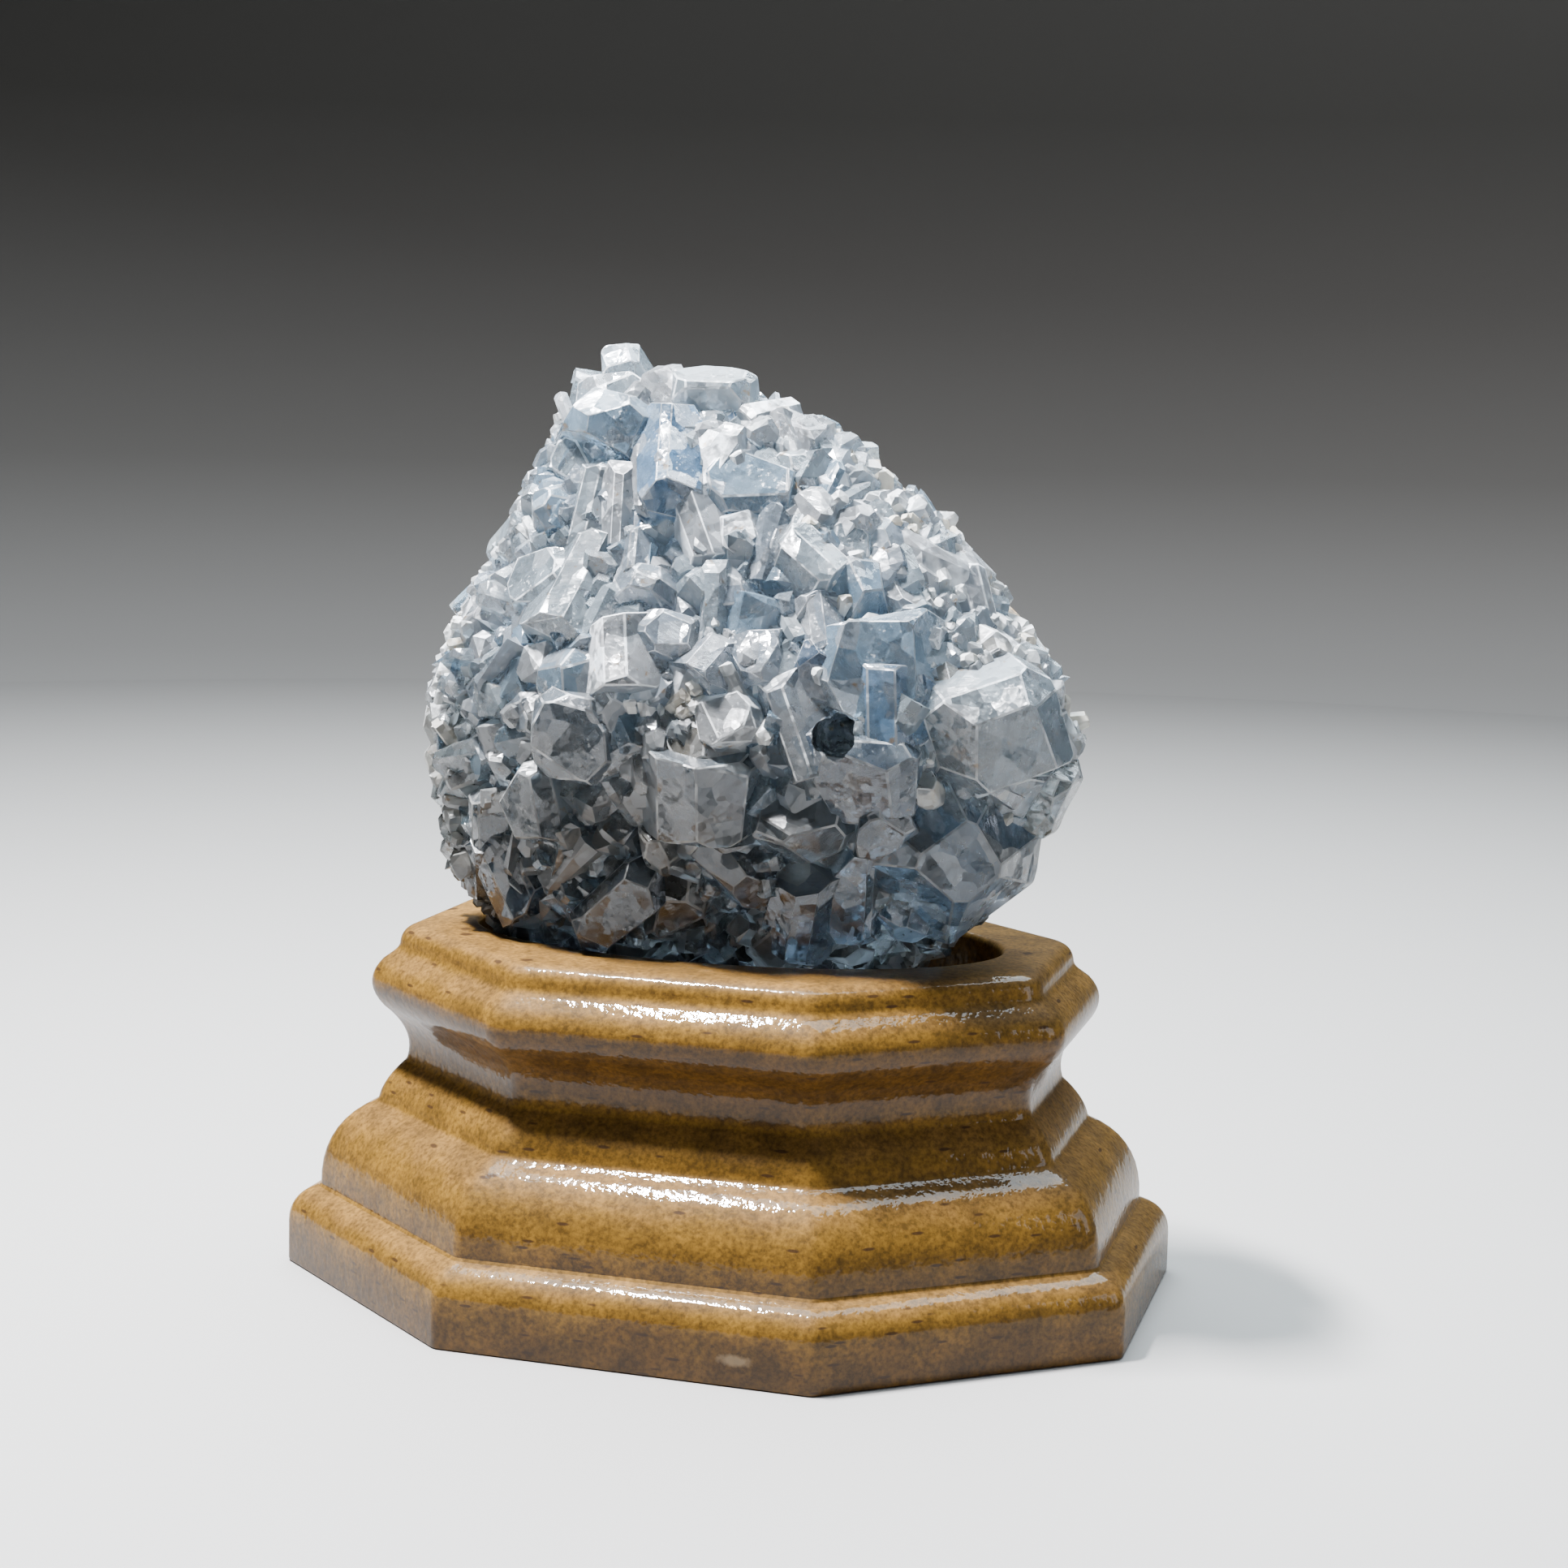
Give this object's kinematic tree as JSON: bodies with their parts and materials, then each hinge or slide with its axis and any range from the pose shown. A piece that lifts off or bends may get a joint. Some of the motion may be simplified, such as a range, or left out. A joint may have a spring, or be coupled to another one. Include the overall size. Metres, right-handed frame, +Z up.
{
  "type": "celestite geode on moulded plinth",
  "caption": "Upright piece of a celestite geode, pale blue crystals in front and rough wall behind, standing in the oval recess of a varnished moulded octagonal plinth",
  "frame": {"origin": "middle of the plinth's underside, on the surface it stands on", "axes": "+Z up; X along the plinth's long sides; the crystals face -Y and the geode's wall faces +Y"},
  "size_m": [0.13, 0.101, 0.1399],
  "materials": {
    "varnished_fibreboard": "moulded fibreboard under gloss clear varnish",
    "celestite": "translucent pale blue crystal, frosted and sugary in places",
    "wall_rock": "rough granular rock with a pale crystalline crust"
  },
  "bodies": {
    "root": {"moulded_plinth": "varnished_fibreboard", "celestite_crystals": "celestite", "geode_wall": "wall_rock"}
  },
  "joints": []
}
